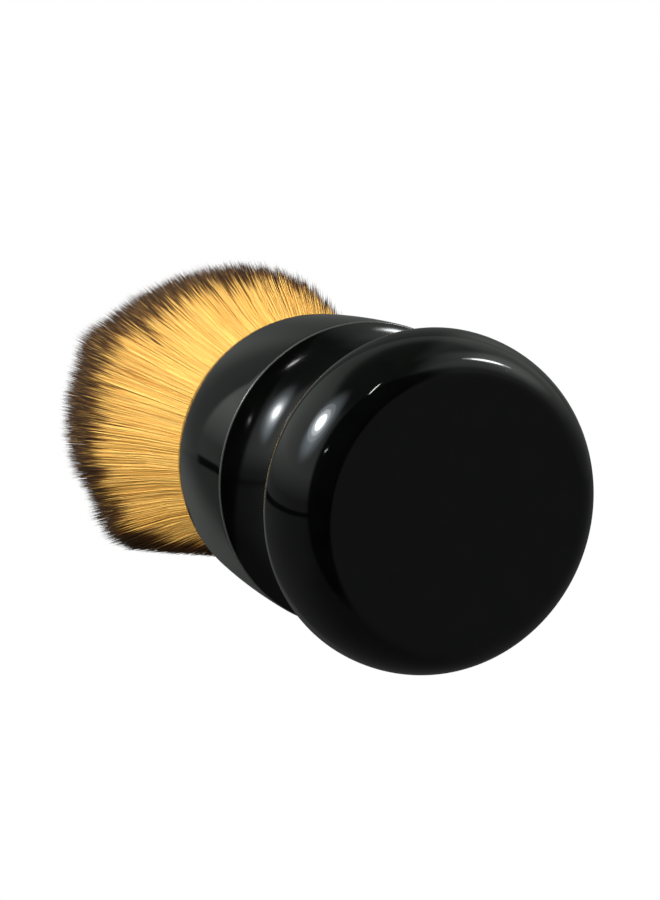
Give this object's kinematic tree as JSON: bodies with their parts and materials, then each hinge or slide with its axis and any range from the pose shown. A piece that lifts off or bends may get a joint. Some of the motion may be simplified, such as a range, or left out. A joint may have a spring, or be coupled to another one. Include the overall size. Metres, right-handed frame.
{
  "type": "shaving brush",
  "caption": "Shaving brush with a turned black resin handle: round foot, finger waist and domed collar, and a fan-shaped knot of golden dark-tipped synthetic bristles.",
  "frame": {"origin": "centre of the flat base of the handle, on the surface that the brush stands on", "axes": "+Z along the brush's axis, from the base to the bristle tips; +X and +Y are any two directions across it, because the brush is turned"},
  "size_m": [0.0448, 0.0448, 0.0949],
  "materials": {
    "handle_resin": "deep black cast resin, turned and polished to a high gloss",
    "adhesive": "cured pale amber glue, smooth",
    "cast_plug": "pale cast resin, satin",
    "bristle_fibre": "golden synthetic filament with dark brown tips, soft sheen along the fibre"
  },
  "bodies": {
    "root": {"handle": "handle_resin", "adhesive_bed": "adhesive", "knot_plug": "cast_plug", "bristles_core": "bristle_fibre", "bristles_inner": "bristle_fibre", "bristles_middle": "bristle_fibre", "bristles_outer": "bristle_fibre"}
  },
  "joints": []
}
